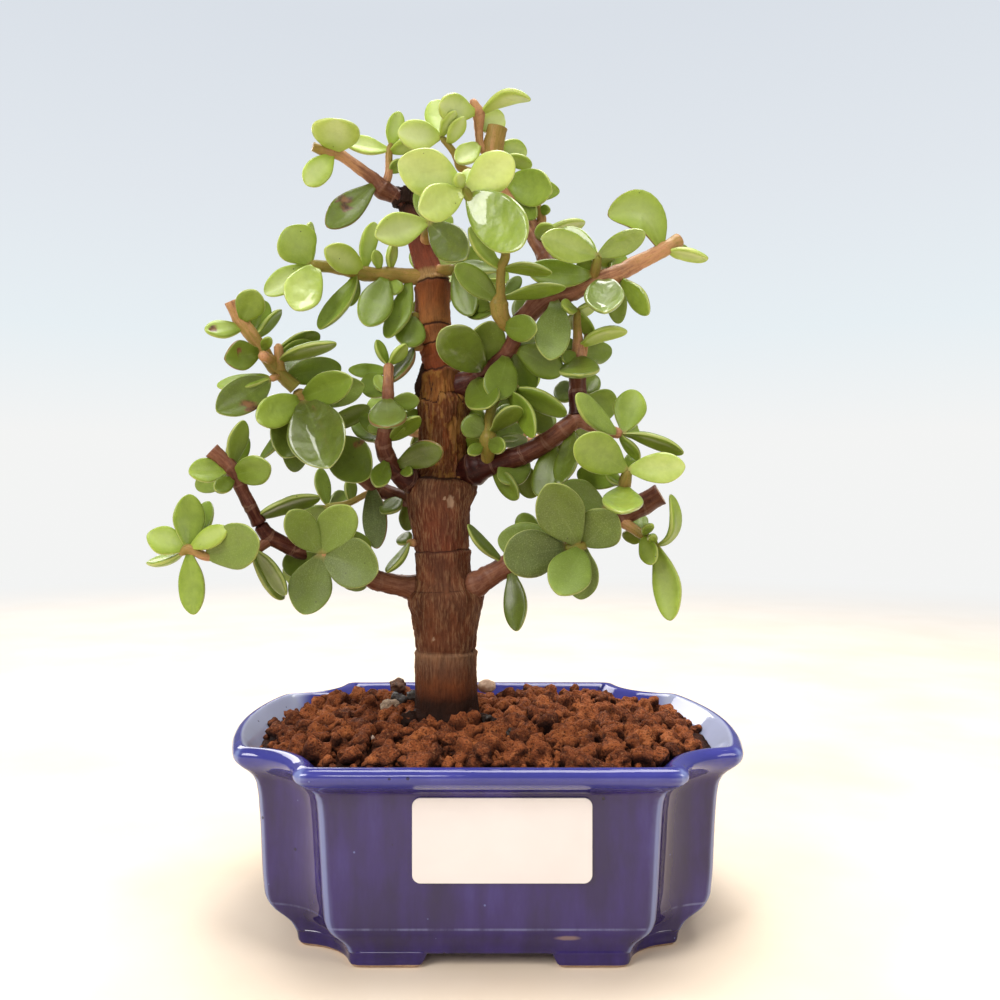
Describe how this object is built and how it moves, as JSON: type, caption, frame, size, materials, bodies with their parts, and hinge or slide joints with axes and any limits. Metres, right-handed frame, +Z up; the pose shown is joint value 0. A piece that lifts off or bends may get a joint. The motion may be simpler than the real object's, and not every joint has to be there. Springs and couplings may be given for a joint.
{
  "type": "potted jade bonsai",
  "caption": "Miniature potted tree: a fissured upright trunk with tiered leafy branches, standing in a glazed pot with notched corners and small feet, for display on a shelf or table.",
  "frame": {"origin": "bottom centre of the overall bounding box, on the plane that the feet stand on", "axes": "+Z up along the trunk; +X to the right along the pot's long side; -Y towards the viewer at the pot's labelled front"},
  "size_m": [0.1596, 0.0998, 0.2289],
  "materials": {
    "glaze": "glossy cobalt blue glaze, thin and pale on the edges, bare tan clay under the feet",
    "soil": "loose reddish brown granules",
    "screen": "dark open mesh over each drain hole",
    "stone_pale": "smooth pale tan pebble",
    "stone_speckled": "grey speckled stone",
    "stone_white": "small white chip",
    "stone_brown": "rough brown stone",
    "label": "blank matt white sticker with rounded corners",
    "bark": "dark brown fissured bark, maroon and ringed on the younger branches",
    "leaf": "fleshy green leaves, waxy to glossy, on thin olive and maroon twigs"
  },
  "bodies": {
    "root": {"pot": "glaze", "soil": "soil", "drain_screen_left": "screen", "drain_screen_right": "screen", "stone_pale": "stone_pale", "stone_speckled": "stone_speckled", "stone_white": "stone_white", "stone_brown": "stone_brown", "label": "label", "trunk": "bark", "branch_left_low": "bark", "shoot_left_low_tip": "leaf", "shoot_left_low_end": "leaf", "shoot_left_low_inner": "leaf", "shoot_trunk_left_bud": "leaf", "branch_left_middle": "leaf", "shoot_trunk_left_leaf": "leaf", "branch_left_back": "leaf", "shoot_left_back": "leaf", "shoot_left_cluster_low": "leaf", "shoot_left_cluster_high": "leaf", "branch_left_high": "leaf", "shoot_trunk_left_upper": "leaf", "branch_top_left": "leaf", "branch_right_high": "leaf", "shoot_right_high_upper": "leaf", "shoot_crown_stem": "leaf", "shoot_trunk_front_upper": "leaf", "shoot_trunk_right_upper": "leaf", "branch_crown": "leaf", "shoot_crown_left": "leaf", "shoot_crown_top": "leaf", "branch_right_middle": "leaf", "shoot_right_middle_upright": "leaf", "shoot_right_middle_inner": "leaf", "branch_right_low": "bark", "shoot_right_low_front": "leaf", "shoot_right_low_upper": "leaf", "shoot_right_low_crown": "leaf", "shoot_right_low_end": "leaf", "branch_back_low": "leaf", "branch_back_middle": "leaf", "branch_back_high": "leaf", "branch_back_right": "leaf", "branch_back_left": "leaf"}
  },
  "joints": []
}
